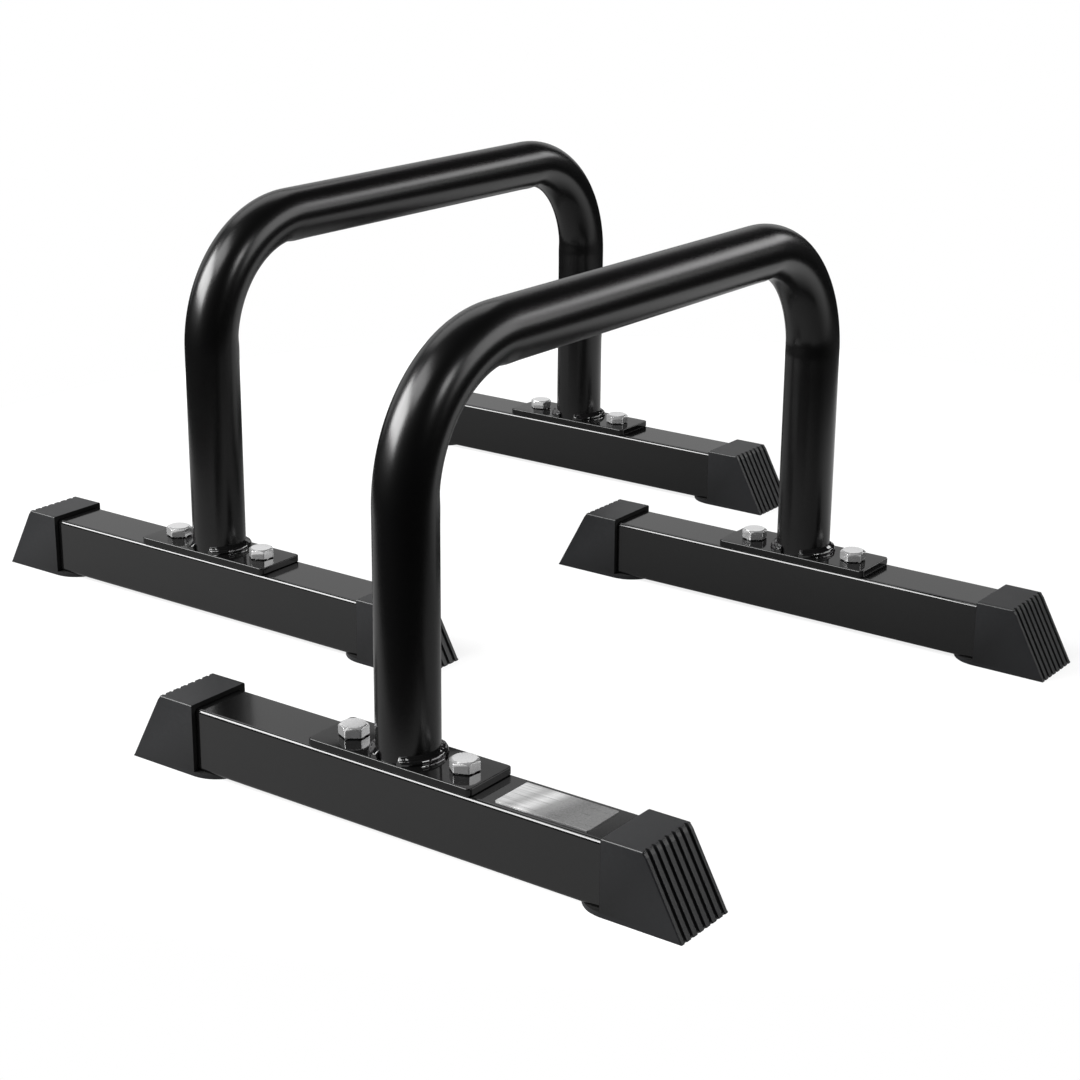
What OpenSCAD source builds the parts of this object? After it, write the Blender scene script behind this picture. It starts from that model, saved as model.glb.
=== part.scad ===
// Pair of parallette bars for hand balancing and push-ups.
// Each bar is one steel tube bent to a U, welded to two flange plates.
// The plates are bolted down on two square foot tubes, which end in ribbed rubber caps.
// +X runs along the grips, away from the front feet; +Y runs from the right bar to the left bar.
// The origin is on the floor, in the middle of the pair.

/* [Grip rail] */
// Outside diameter of the bent tube
grip_d = 38; // [32:0.5:38]
// Wall of the bent tube
rail_wall = 2; // [1.5:0.25:4]
// Distance between the axes of a bar's two posts
post_spacing = 450; // [360:5:600]
// Height of the top of the grip above the floor
grip_height = 295; // [220:5:400]
// Bend radius, measured at the tube's axis
bend_radius = 83; // [60:1:120]

/* [Foot tubes] */
// Length of a whole foot over its two caps
foot_length = 400; // [320:5:520]
// Outside width and height of the square foot tube
foot_tube_size = 40; // [38:1:50]
// Wall of the foot tube
foot_tube_wall = 2; // [1.5:0.25:3]
// Outside corner radius of the foot tube
foot_tube_corner = 2.5; // [2:0.25:4]

/* [End caps] */
// Wall of the collar round the tube, and of the floor under it
cap_wall = 3; // [2:0.25:5]
// Length of the cap along its top
cap_top_length = 27; // [20:1:36]
// Length of the cap along the floor
cap_bottom_length = 52; // [44:1:70]
// Wall of the hollow nose
cap_nose_wall = 3; // [2:0.25:5]
// Width of the ledge that the end of the tube stops against
cap_ledge = 3; // [2:0.5:6]
// Rounding of the cap's long top edges
cap_edge_radius = 2; // [1:0.25:3]
// Rounding of the edges of the sloping end face
cap_face_radius = 1.2; // [0.5:0.1:2]
// Number of grooves down the sloping end face
groove_count = 7; // [3:1:8]
// Width of a groove
groove_width = 2; // [1:0.25:3]
// Depth of a groove below the sloping face
groove_depth = 1.8; // [1.2:0.1:2.4]
// Width of the plain ridge outside the first and last groove
groove_margin = 3.4; // [2.5:0.1:6]
// Reach of the round tongue under the foot tube
tongue_length = 22.5; // [20:0.5:50]

/* [Flange plates] */
// Length of the plate along the foot
plate_length = 118; // [108:1:140]
// Width of the plate across the foot
plate_width = 40; // [38:0.5:46]
// Thickness of the plate
plate_thickness = 5; // [3:0.5:8]
// Corner radius of the plate
plate_corner = 3; // [2:0.5:8]
// Distance from the plate's end to the bolt's axis
bolt_edge = 18.5; // [12:0.5:20]

/* [Fasteners] */
// Diameter of the bolt's shank
bolt_d = 10; // [8:1:10]
// Length of the shank under the head
bolt_length = 20; // [16:1:24]
// Width of the hexagon head across its flats
head_flats = 16; // [13:0.5:17]
// Height of the head over the plate
head_height = 6.4; // [5:0.1:8]
// Height of the round washer face under the hexagon
washer_face = 0.4; // [0.2:0.1:0.8]
// Width of the weld nut across its flats
nut_flats = 17; // [15:0.5:19]
// Height of the weld nut
nut_height = 8; // [5:0.5:10]

/* [Weld] */
// Reach of the fillet weld out over the plate
weld_leg = 4.5; // [3:0.25:5.5]
// Arc of each weld round the post
weld_arc = 140; // [60:5:140]
// Number of ripples along one weld
weld_ripples = 9; // [5:1:14]

/* [Name plate] */
// Length of the bare name plate along the foot
badge_length = 62; // [40:1:70]
// Width of the name plate across the foot
badge_width = 30; // [20:1:32]
// Thickness of the name plate
badge_thickness = 0.6; // [0.4:0.1:1]
// Corner radius of the name plate
badge_corner = 1; // [0.5:0.1:3]

/* [Pair] */
// Distance between the axes of the two grips
bar_spacing = 338; // [80:1:700]
// Distance that the left bar stands further along +X
bar_stagger = 200; // [100:5:260]

/* [Fits] */
// Gap all round between the foot tube and the cap's socket
socket_fit = 0.15; // [0.05:0.05:0.3]
// Gap all round between a bolt and the holes that it passes through
hole_clearance = 0.5; // [0.2:0.1:0.8]
// Gap all round between a bolt and the thread of its nut
thread_fit = 0.05; // [0.02:0.01:0.1]
// Gap between the weld and the post
weld_fit = 0.05; // [0.02:0.01:0.1]

/* [Hidden] */
$fn = 64;

// Sides of the pair and ends of a bar, as signs along Y and X
RIGHT = -1;
LEFT = 1;
FRONT = -1;
REAR = 1;
// Ends of a foot: the inner end points at the other bar
INNER = -1;
OUTER = 1;

// Heights above the floor
deck = cap_wall + foot_tube_size;
plate_top = deck + plate_thickness;
grip_axis = grip_height - grip_d / 2;

// Lengths along the rail
half_span = post_spacing / 2;
post_length = grip_axis - bend_radius - plate_top;
grip_straight = post_spacing - 2 * bend_radius;

// Lengths along a foot
mouth = foot_length / 2 - cap_bottom_length;
socket_depth = cap_top_length - cap_nose_wall;
foot_tube_length = 2 * (mouth + socket_depth);
bolt_y = plate_length / 2 - bolt_edge;
badge_y = (plate_length / 2 + mouth) / 2;

// Sections
socket_size = foot_tube_size + 2 * socket_fit;
cap_width = socket_size + 2 * cap_wall;
cap_height = deck + socket_fit + cap_wall;
slope = atan((cap_bottom_length - cap_top_length) / cap_height);
groove_pitch = (cap_width - 2 * groove_margin - groove_width) / (groove_count - 1);
bolt_hole = bolt_d + 2 * hole_clearance;
head_corners = head_flats / cos(30);
// Round flat on top of the head, inside its 30 degree chamfer
head_round = 0.94 * head_flats;
washer_d = 0.92 * head_flats;
bolt_tip = 1;

// Half profile of a weld: share of its reach outwards, share of its height upwards
weld_profile = [[0, 0], [1, 0], [0.94, 0.48], [0.6, 0.98], [0, 1.3]];
weld_steps = 54;
// The weld stops this far short of the plate's long edges
weld_to_edge = 0.3;

// Each head stopped at its own angle when its bolt was tightened
head_turns = [[[0, 10], [-12, -5]], [[-6, 9], [4, -13]]];
function head_turn(side, end, place) = head_turns[(side + 1) / 2][(end + 1) / 2][(place + 1) / 2];

// Rectangle with round corners
module round_rectangle(size, r) {
    square([size[0] - 2 * r, size[1]], center = true);
    square([size[0], size[1] - 2 * r], center = true);
    for (x = [-1, 1], y = [-1, 1])
        translate([x * (size[0] / 2 - r), y * (size[1] / 2 - r)])
            circle(r);
}

// Waste to cut off corner p of an outline, between points a and b, to leave radius r
module corner_waste(a, p, b, r) {
    to_a = (a - p) / norm(a - p);
    to_b = (b - p) / norm(b - p);
    half_angle = acos(to_a * to_b) / 2;
    reach = r / tan(half_angle);
    centre = p + (to_a + to_b) / norm(to_a + to_b) * r / sin(half_angle);
    difference() {
        polygon([p + to_a * reach, centre, p + to_b * reach, p + (p - centre)]);
        translate(centre)
            circle(r);
    }
}

module tube_section() {
    difference() {
        circle(grip_d / 2);
        circle(grip_d / 2 - rail_wall);
    }
}

// Places
module on_bar(side) {
    translate([side * bar_stagger / 2, side * bar_spacing / 2, 0])
        children();
}

// A foot is drawn with its outer end along +Y
module on_foot(side, end) {
    on_bar(side)
        translate([end * half_span, 0, 0])
            mirror([0, side == RIGHT ? 1 : 0, 0])
                children();
}

module at_end(place) {
    mirror([0, place == INNER ? 1 : 0, 0])
        translate([0, mouth, 0])
            children();
}

// One bent tube: two posts, two bends and the straight grip
module rail() {
    color("#161617") {
        for (end = [0, 1])
            mirror([end, 0, 0]) {
                translate([half_span, 0, plate_top])
                    linear_extrude(post_length)
                        tube_section();
                translate([half_span - bend_radius, 0, grip_axis - bend_radius])
                    rotate([90, 0, 0])
                        rotate_extrude(angle = 90)
                            translate([bend_radius, 0])
                                tube_section();
            }
        translate([-grip_straight / 2, 0, grip_axis])
            rotate([0, 90, 0])
                linear_extrude(grip_straight)
                    tube_section();
    }
}

// Square tube, drilled through its top wall for the two bolts
module foot_tube() {
    bore_size = foot_tube_size - 2 * foot_tube_wall;
    bore_corner = max(foot_tube_corner - foot_tube_wall, 0.3);
    color("#2c2c2d")
        difference() {
            translate([0, foot_tube_length / 2, cap_wall + foot_tube_size / 2])
                rotate([90, 0, 0])
                    linear_extrude(foot_tube_length)
                        difference() {
                            round_rectangle([foot_tube_size, foot_tube_size], foot_tube_corner);
                            round_rectangle([bore_size, bore_size], bore_corner);
                        }
            for (place = [INNER, OUTER])
                translate([0, place * bolt_y, deck - 2 * foot_tube_wall])
                    cylinder(d = bolt_hole, h = 3 * foot_tube_wall);
        }
}

// Flat plate under a post, with a bolt hole at each side of it
module flange_plate() {
    color("#1f1f20")
        translate([0, 0, deck])
            difference() {
                linear_extrude(plate_thickness)
                    round_rectangle([plate_width, plate_length], plate_corner);
                for (place = [INNER, OUTER])
                    translate([0, place * bolt_y, -1])
                        cylinder(d = bolt_hole, h = plate_thickness + 2);
            }
}

// Size of the bead at share t of its arc: thinner at both ends, swollen at each ripple
function bead(t) = weld_leg * (0.8 + 0.2 * sqrt(sin(180 * t))) * (0.97 + 0.03 * cos(360 * weld_ripples * t));

// Distance from the post's axis to the plate's long edge, or to a ring far outside the weld
function edge_reach(turn) = (plate_width / 2 - weld_to_edge) / max(abs(cos(turn)), 0.2);

function bead_points(t) =
    let (turn = 90 + weld_arc * (t - 0.5))
    [for (p = weld_profile)
        let (r = min(grip_d / 2 + weld_fit + bead(t) * p[0], edge_reach(turn)))
        [r * cos(turn), r * sin(turn), bead(t) * p[1]]];

// Triangles between two neighbouring rings of the sweep
function strip(i, n) =
    [for (k = [0:n - 1])
        let (a = i * n + k, b = i * n + (k + 1) % n)
        each [[a, a + n, b], [b, a + n, b + n]]];

// Two fillet welds, at the sides where the plate reaches out past the post
module welds() {
    n = len(weld_profile);
    last = weld_steps * n;
    points = [for (i = [0:weld_steps]) each bead_points(i / weld_steps)];
    faces = [
        for (k = [1:n - 2]) [0, k, k + 1],
        for (i = [0:weld_steps - 1]) each strip(i, n),
        for (k = [1:n - 2]) [last, last + k + 1, last + k]
    ];
    color("#101011")
        for (end = [0, 1])
            mirror([0, end, 0])
                translate([0, 0, plate_top])
                    polyhedron(points, faces);
}

// Hexagon bolt, with its shank down through plate, tube and nut
module bolt(turn) {
    hex_height = head_height - washer_face;
    cone_r = head_corners / 2 + 2;
    translate([0, 0, washer_face])
        intersection() {
            rotate(turn)
                cylinder(d = head_corners, h = hex_height, $fn = 6);
            rotate_extrude()
                polygon([
                    [0, -1],
                    [cone_r, -1],
                    [cone_r, hex_height - (cone_r - head_round / 2) * tan(30)],
                    [head_round / 2, hex_height],
                    [0, hex_height]
                ]);
        }
    cylinder(d = washer_d, h = washer_face);
    translate([0, 0, bolt_tip - bolt_length])
        cylinder(d = bolt_d, h = bolt_length - bolt_tip);
    translate([0, 0, -bolt_length])
        cylinder(d1 = bolt_d - 2 * bolt_tip, d2 = bolt_d, h = bolt_tip);
}

module bolts(side, end) {
    color("#c9cacc")
        for (place = [INNER, OUTER])
            translate([0, place * bolt_y, plate_top])
                bolt(head_turn(side, end, place));
}

// Nuts welded inside the tube, under its top wall
module weld_nuts() {
    color("#8f9094")
        for (place = [INNER, OUTER])
            translate([0, place * bolt_y, deck - foot_tube_wall - nut_height])
                difference() {
                    cylinder(d = nut_flats / cos(30), h = nut_height, $fn = 6);
                    translate([0, 0, -1])
                        cylinder(d = bolt_d + 2 * thread_fit, h = nut_height + 2);
                }
}

// Outside of the cap, from its mouth at y = 0 to its toe
module cap_block() {
    toe = [cap_bottom_length, 0];
    brow = [cap_top_length, cap_height];
    crown = [0, cap_height];
    side = cap_width / 2;
    long = cap_bottom_length + cap_height;
    difference() {
        // Side view, with the brow rounded off
        rotate([90, 0, 90])
            translate([0, 0, -side])
                linear_extrude(cap_width)
                    difference() {
                        polygon([[0, 0], toe, brow, crown]);
                        corner_waste(crown, brow, toe, cap_face_radius);
                    }
        for (hand = [0, 1])
            mirror([hand, 0, 0]) {
                // Waste off a long top edge
                translate([0, long, 0])
                    rotate([90, 0, 0])
                        linear_extrude(2 * long)
                            corner_waste([0, cap_height], [side, cap_height], [side, 0], cap_edge_radius);
                // Waste off a side edge of the sloping face
                translate([0, cap_bottom_length, 0])
                    rotate([slope, 0, 0])
                        translate([0, 0, -long])
                            linear_extrude(2 * long)
                                corner_waste([0, 0], [side, 0], [side, -side], cap_face_radius);
            }
    }
}

// Grooves down the sloping face, with round bottoms
module grooves() {
    round_r = groove_width / 2;
    long = 2 * cap_height;
    translate([0, cap_bottom_length, 0])
        rotate([slope, 0, 0])
            for (i = [0:groove_count - 1])
                translate([(i - (groove_count - 1) / 2) * groove_pitch, 0, -long / 2]) {
                    translate([0, round_r - groove_depth, 0])
                        cylinder(r = round_r, h = long);
                    translate([-round_r, round_r - groove_depth, 0])
                        cube([groove_width, groove_depth, long]);
                }
}

// Moulded rubber cap: a collar over the tube, a hollow ribbed nose and a tongue under the tube
module end_cap() {
    cavity_wall = (cap_nose_wall + groove_depth) / cos(slope);
    low = cap_wall + cap_ledge;
    high = deck - cap_ledge;
    function nose_y(z) = cap_bottom_length - z * tan(slope) - cavity_wall;
    color("#2f3032")
        difference() {
            union() {
                cap_block();
                linear_extrude(cap_wall) {
                    translate([-cap_width / 2, cap_width / 2 - tongue_length])
                        square([cap_width, tongue_length - cap_width / 2 + cap_nose_wall]);
                    translate([0, cap_width / 2 - tongue_length])
                        circle(cap_width / 2);
                }
            }
            // Socket for the tube, which rests on its floor
            translate([0, socket_depth, deck + socket_fit - socket_size / 2])
                rotate([90, 0, 0])
                    linear_extrude(2 * socket_depth)
                        intersection() {
                            round_rectangle([socket_size, socket_size], foot_tube_corner);
                            translate([-socket_size / 2, cap_wall - deck - socket_fit + socket_size / 2])
                                square(socket_size);
                        }
            // Hollow of the nose, behind the ledge
            rotate([90, 0, 90])
                translate([0, 0, cap_ledge - foot_tube_size / 2])
                    linear_extrude(foot_tube_size - 2 * cap_ledge)
                        polygon([
                            [socket_depth - 1, low],
                            [nose_y(low), low],
                            [nose_y(high), high],
                            [socket_depth - 1, high]
                        ]);
            grooves();
        }
}

// Bare brushed plate, stuck on the tube between the flange plate and the outer cap
module name_plate() {
    color("#b9babb")
        translate([0, badge_y, deck])
            linear_extrude(badge_thickness)
                round_rectangle([badge_width, badge_length], badge_corner);
}

on_bar(RIGHT) rail();  // right_rail
on_bar(LEFT) rail();  // left_rail

on_foot(RIGHT, FRONT) foot_tube();  // right_front_foot_tube
on_foot(RIGHT, REAR) foot_tube();  // right_rear_foot_tube
on_foot(LEFT, FRONT) foot_tube();  // left_front_foot_tube
on_foot(LEFT, REAR) foot_tube();  // left_rear_foot_tube

on_foot(RIGHT, FRONT) flange_plate();  // right_front_flange_plate
on_foot(RIGHT, REAR) flange_plate();  // right_rear_flange_plate
on_foot(LEFT, FRONT) flange_plate();  // left_front_flange_plate
on_foot(LEFT, REAR) flange_plate();  // left_rear_flange_plate

on_foot(RIGHT, FRONT) welds();  // right_front_welds
on_foot(RIGHT, REAR) welds();  // right_rear_welds
on_foot(LEFT, FRONT) welds();  // left_front_welds
on_foot(LEFT, REAR) welds();  // left_rear_welds

on_foot(RIGHT, FRONT) bolts(RIGHT, FRONT);  // right_front_bolts
on_foot(RIGHT, REAR) bolts(RIGHT, REAR);  // right_rear_bolts
on_foot(LEFT, FRONT) bolts(LEFT, FRONT);  // left_front_bolts
on_foot(LEFT, REAR) bolts(LEFT, REAR);  // left_rear_bolts

on_foot(RIGHT, FRONT) weld_nuts();  // right_front_weld_nuts
on_foot(RIGHT, REAR) weld_nuts();  // right_rear_weld_nuts
on_foot(LEFT, FRONT) weld_nuts();  // left_front_weld_nuts
on_foot(LEFT, REAR) weld_nuts();  // left_rear_weld_nuts

on_foot(RIGHT, FRONT) at_end(INNER) end_cap();  // right_front_inner_cap
on_foot(RIGHT, REAR) at_end(INNER) end_cap();  // right_rear_inner_cap
on_foot(LEFT, FRONT) at_end(INNER) end_cap();  // left_front_inner_cap
on_foot(LEFT, REAR) at_end(INNER) end_cap();  // left_rear_inner_cap

on_foot(RIGHT, FRONT) at_end(OUTER) end_cap();  // right_front_outer_cap
on_foot(RIGHT, REAR) at_end(OUTER) end_cap();  // right_rear_outer_cap
on_foot(LEFT, FRONT) at_end(OUTER) end_cap();  // left_front_outer_cap
on_foot(LEFT, REAR) at_end(OUTER) end_cap();  // left_rear_outer_cap

on_foot(RIGHT, FRONT) name_plate();  // right_front_name_plate
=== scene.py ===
import math

import bmesh
import bpy
from mathutils import Matrix, Vector


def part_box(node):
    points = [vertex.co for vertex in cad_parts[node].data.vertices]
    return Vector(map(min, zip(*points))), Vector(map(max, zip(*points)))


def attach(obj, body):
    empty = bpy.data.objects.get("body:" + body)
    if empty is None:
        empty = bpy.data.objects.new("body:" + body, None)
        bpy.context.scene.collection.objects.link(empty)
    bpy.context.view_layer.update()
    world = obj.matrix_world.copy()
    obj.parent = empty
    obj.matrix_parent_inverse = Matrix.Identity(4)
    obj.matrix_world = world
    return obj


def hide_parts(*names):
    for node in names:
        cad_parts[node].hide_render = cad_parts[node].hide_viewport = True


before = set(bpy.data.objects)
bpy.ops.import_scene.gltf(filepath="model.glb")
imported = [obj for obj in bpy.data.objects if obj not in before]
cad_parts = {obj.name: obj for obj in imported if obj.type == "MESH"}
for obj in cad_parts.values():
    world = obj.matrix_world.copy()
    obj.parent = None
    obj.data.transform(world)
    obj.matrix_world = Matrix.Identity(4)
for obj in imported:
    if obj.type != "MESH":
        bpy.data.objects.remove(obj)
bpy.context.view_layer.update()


# Camera
# A long lens just over knee height, two steps off the near feet of both bars. It looks down
# along the grips, so both bars, all their feet and the bare name plate are in the picture.
MM = 0.001
camera_aim = Vector((-69.4, -75.2, 87.1)) * MM
camera_distance = 1500 * MM
camera_azimuth = math.radians(-54.17)
camera_elevation = math.radians(18.57)
camera_roll = math.radians(0.48)
camera_lens = 74.3
camera_sensor = 36


def toward(azimuth, elevation):
    flat = math.cos(elevation)
    return Vector((math.sin(azimuth) * flat, -math.cos(azimuth) * flat, math.sin(elevation)))


camera_back = toward(camera_azimuth, camera_elevation)
level_right = Vector((math.cos(camera_azimuth), math.sin(camera_azimuth), 0))
level_up = camera_back.cross(level_right)
camera_right = level_right * math.cos(camera_roll) + level_up * math.sin(camera_roll)
camera_up = camera_back.cross(camera_right)
camera_data = bpy.data.cameras.new("camera")
camera_data.lens = camera_lens
camera_data.sensor_width = camera_sensor
camera = bpy.data.objects.new("camera", camera_data)
camera.matrix_world = Matrix.Translation(camera_aim + camera_back * camera_distance) @ Matrix(
    (camera_right, camera_up, camera_back)
).transposed().to_4x4()
bpy.context.scene.collection.objects.link(camera)
bpy.context.scene.camera = camera


# Floor and light
# The pair stands on a round sheet of pale paper in a plain white studio. Two softboxes hang on
# the left, one above the other, two on the right and a small one in front. Behind stand two dim
# white walls, one above the other.
paper_centre = Vector((180, 20, 0)) * MM
paper_radius = 700 * MM
paper_segments = 160
paper_colour = (0.2, 0.2, 0.2, 1)
paper_glow = 0.82
paper_full_glow = 1.0
glow_from = 480 * MM
# Two sides of the paper are brighter where the object mirrors them: (side, start, full, glow)
paper_sheens = [
    ((0.87, -0.5, 0), 60 * MM, 420 * MM, 0.65),
    ((-0.97, 0.25, 0), -100 * MM, 520 * MM, 0.22),
]
room_colour = (0.02, 0.02, 0.0205, 1)
light_aim = Vector((-80, -60, 150)) * MM
light_reach = 4.0
# Watts that give a square metre of lamp a brightness of 1
lamp_power = 4.0


def new_material(name):
    material = bpy.data.materials.new(name)
    material.use_nodes = True
    nodes = material.node_tree.nodes
    nodes.clear()
    output = nodes.new("ShaderNodeOutputMaterial")
    return material, nodes, material.node_tree.links, output


paper, nodes, links, output = new_material("pale_paper")
dull = nodes.new("ShaderNodeBsdfDiffuse")
dull.inputs["Color"].default_value = paper_colour
glow = nodes.new("ShaderNodeEmission")
ray = nodes.new("ShaderNodeLightPath")
place = nodes.new("ShaderNodeTexCoord")
distance = nodes.new("ShaderNodeVectorMath")
distance.operation = "LENGTH"
fade = nodes.new("ShaderNodeMapRange")
fade.interpolation_type = "SMOOTHSTEP"
fade.inputs["From Min"].default_value = glow_from
fade.inputs["From Max"].default_value = paper_radius
fade.inputs["To Min"].default_value = paper_glow
fade.inputs["To Max"].default_value = paper_full_glow
seen = nodes.new("ShaderNodeMath")
seen.operation = "MULTIPLY"
both = nodes.new("ShaderNodeAddShader")
links.new(place.outputs["Object"], distance.inputs[0])
links.new(distance.outputs["Value"], fade.inputs["Value"])
links.new(fade.outputs["Result"], seen.inputs[0])
links.new(ray.outputs["Is Camera Ray"], seen.inputs[1])
strength = seen.outputs["Value"]
for side, begins, full, sheen in paper_sheens:
    across = nodes.new("ShaderNodeVectorMath")
    across.operation = "DOT_PRODUCT"
    across.inputs[1].default_value = side
    rise = nodes.new("ShaderNodeMapRange")
    rise.interpolation_type = "SMOOTHSTEP"
    rise.inputs["From Min"].default_value = begins
    rise.inputs["From Max"].default_value = full
    rise.inputs["To Max"].default_value = sheen
    mirrored = nodes.new("ShaderNodeMath")
    mirrored.operation = "MULTIPLY_ADD"
    links.new(place.outputs["Object"], across.inputs[0])
    links.new(across.outputs["Value"], rise.inputs["Value"])
    links.new(rise.outputs["Result"], mirrored.inputs[0])
    links.new(ray.outputs["Is Glossy Ray"], mirrored.inputs[1])
    links.new(strength, mirrored.inputs[2])
    strength = mirrored.outputs["Value"]
links.new(strength, glow.inputs["Strength"])
links.new(dull.outputs["BSDF"], both.inputs[0])
links.new(glow.outputs["Emission"], both.inputs[1])
links.new(both.outputs["Shader"], output.inputs["Surface"])

sheet = bmesh.new()
bmesh.ops.create_circle(sheet, cap_ends=True, segments=paper_segments, radius=paper_radius)
floor_mesh = bpy.data.meshes.new("floor")
sheet.to_mesh(floor_mesh)
sheet.free()
floor_mesh.materials.append(paper)
floor = bpy.data.objects.new("floor", floor_mesh)
floor.location = paper_centre
bpy.context.scene.collection.objects.link(floor)

bpy.context.scene.view_settings.view_transform = "Standard"
world = bpy.data.worlds.new("studio")
world.use_nodes = True
bpy.context.scene.world = world
nodes, links = world.node_tree.nodes, world.node_tree.links
nodes.clear()
output = nodes.new("ShaderNodeOutputWorld")
room = nodes.new("ShaderNodeBackground")
room.inputs["Color"].default_value = room_colour
white = nodes.new("ShaderNodeBackground")
white.inputs["Color"].default_value = (1, 1, 1, 1)
ray = nodes.new("ShaderNodeLightPath")
either = nodes.new("ShaderNodeMixShader")
links.new(ray.outputs["Is Camera Ray"], either.inputs["Fac"])
links.new(room.outputs["Background"], either.inputs[1])
links.new(white.outputs["Background"], either.inputs[2])
links.new(either.outputs["Shader"], output.inputs["Surface"])


def softbox(name, azimuth, elevation, wide, high, brightness):
    """A rectangular lamp that spans wide by high degrees, as seen from the object."""
    direction = toward(math.radians(azimuth), math.radians(elevation))
    lamp = bpy.data.lights.new(name, "AREA")
    lamp.shape = "RECTANGLE"
    lamp.size = 2 * light_reach * math.tan(math.radians(wide / 2))
    lamp.size_y = 2 * light_reach * math.tan(math.radians(high / 2))
    lamp.energy = brightness * lamp_power * lamp.size * lamp.size_y
    holder = bpy.data.objects.new(name, lamp)
    holder.location = light_aim + direction * light_reach
    holder.rotation_mode = "QUATERNION"
    holder.rotation_quaternion = direction.to_track_quat("Z", "Y")
    holder.visible_camera = False
    bpy.context.scene.collection.objects.link(holder)


softbox("left_softbox", azimuth=-133, elevation=33, wide=44, high=26, brightness=13)
softbox("left_upper_softbox", azimuth=-114, elevation=58, wide=38, high=20, brightness=4)
softbox("right_strip", azimuth=69, elevation=24.5, wide=22, high=11, brightness=3.7)
softbox("right_softbox", azimuth=36, elevation=22, wide=34, high=26, brightness=2.2)
softbox("front_strip", azimuth=-4, elevation=34.5, wide=12, high=11, brightness=8)
softbox("back_wall", azimuth=142, elevation=15, wide=76, high=26, brightness=0.46)
softbox("upper_wall", azimuth=142, elevation=47, wide=42, high=28, brightness=1.0)


# Grip rails
# Each rail is one 38 mm steel tube, bent twice on a bending machine and painted satin black. The
# die leaves the inside of each bend pressed in a little, with a slight bulge where it starts.
SIDES = ("right", "left")
ENDS = ("front", "rear")
rail_wall = 2 * MM
bend_radius = 83 * MM
round_steps = 96
bend_steps = 36
straight_steps = 8
# The inside of the tube has only every third ring of its outside
inside_every = 3
pinch = 1.1 * MM
pinch_run = 14 * MM
pinch_narrow = 1.5
bulge = 0.25 * MM
bulge_run = 7 * MM
# Places of the rings on the bulge, as far as they lie before the bend
bulge_places = [-18 * MM, -14 * MM, -11 * MM, -8 * MM, -5.5 * MM, -3.5 * MM, -1.5 * MM]


def join_rings(bm, rings):
    """Four-sided faces between neighbouring closed rings of vertices."""
    for low, high in zip(rings, rings[1:]):
        for i in range(len(low)):
            j = (i + 1) % len(low)
            bm.faces.new((low[i], low[j], high[j], high[i]))


# These masks carry the painted highlight on edges and the painted shade in corners
def mark_edges(bm, full_angle=math.radians(22)):
    """Writes how sharply each vertex stands out, as convex, or lies in, as crevice."""
    convex = bm.verts.layers.float.new("convex")
    crevice = bm.verts.layers.float.new("crevice")
    for edge in bm.edges:
        angle = edge.calc_face_angle_signed(0)
        layer = convex if angle > 0 else crevice
        for vert in edge.verts:
            vert[layer] = max(vert[layer], min(1, abs(angle) / full_angle))


def piece_from(bm, name, material, body, nodes, sharp=40):
    """Makes the mesh into a piece that rides on its body in place of its CAD nodes."""
    bmesh.ops.recalc_face_normals(bm, faces=bm.faces)
    mark_edges(bm)
    mesh = bpy.data.meshes.new(name)
    bm.to_mesh(mesh)
    bm.free()
    mesh.shade_smooth()
    mesh.set_sharp_from_angle(angle=math.radians(sharp))
    mesh.materials.append(material)
    piece = bpy.data.objects.new(name, mesh)
    bpy.context.scene.collection.objects.link(piece)
    even = piece.modifiers.new("even_shading", "WEIGHTED_NORMAL")
    even.keep_sharp = True
    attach(piece, body)
    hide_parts(*nodes)
    return piece


def node_group(name, inputs, outputs):
    """A shader group with number inputs {name: value} and outputs {name: socket type}."""
    tree = bpy.data.node_groups.new(name, "ShaderNodeTree")
    for label, value in inputs.items():
        socket = tree.interface.new_socket(label, in_out="INPUT", socket_type="NodeSocketFloat")
        socket.default_value = value
    for label, kind in outputs.items():
        tree.interface.new_socket(label, in_out="OUTPUT", socket_type=kind)
    start = tree.nodes.new("NodeGroupInput")
    end = tree.nodes.new("NodeGroupOutput")
    return tree, start, end


def math_node(nodes, links, operation, first, second):
    """A Math node, with each input a number or a socket."""
    node = nodes.new("ShaderNodeMath")
    node.operation = operation
    for socket, value in zip(node.inputs, (first, second)):
        if isinstance(value, (int, float)):
            socket.default_value = value
        else:
            links.new(value, socket)
    return node.outputs["Value"]


def noise(nodes, links, vector, scale, detail, roughness=0.5):
    """A noise from 0 to 1, with its scale per metre a number or a socket."""
    node = nodes.new("ShaderNodeTexNoise")
    links.new(vector, node.inputs["Vector"])
    if isinstance(scale, (int, float)):
        node.inputs["Scale"].default_value = scale
    else:
        links.new(scale, node.inputs["Scale"])
    node.inputs["Detail"].default_value = detail
    node.inputs["Roughness"].default_value = roughness
    return node.outputs["Fac"]


# Grain is fine and even, Cloud is broad and soft: both run from 0 to 1
grain_tree, start, end = node_group(
    "surface_grain",
    {"Grains per metre": 2500, "Clouds per metre": 14},
    {"Grain": "NodeSocketFloat", "Cloud": "NodeSocketFloat"},
)
nodes, links = grain_tree.nodes, grain_tree.links
place = nodes.new("ShaderNodeTexCoord").outputs["Object"]
fine = noise(nodes, links, place, start.outputs["Grains per metre"], detail=3)
broad = noise(nodes, links, place, start.outputs["Clouds per metre"], detail=4, roughness=0.6)
links.new(fine, end.inputs["Grain"])
links.new(broad, end.inputs["Cloud"])
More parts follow.
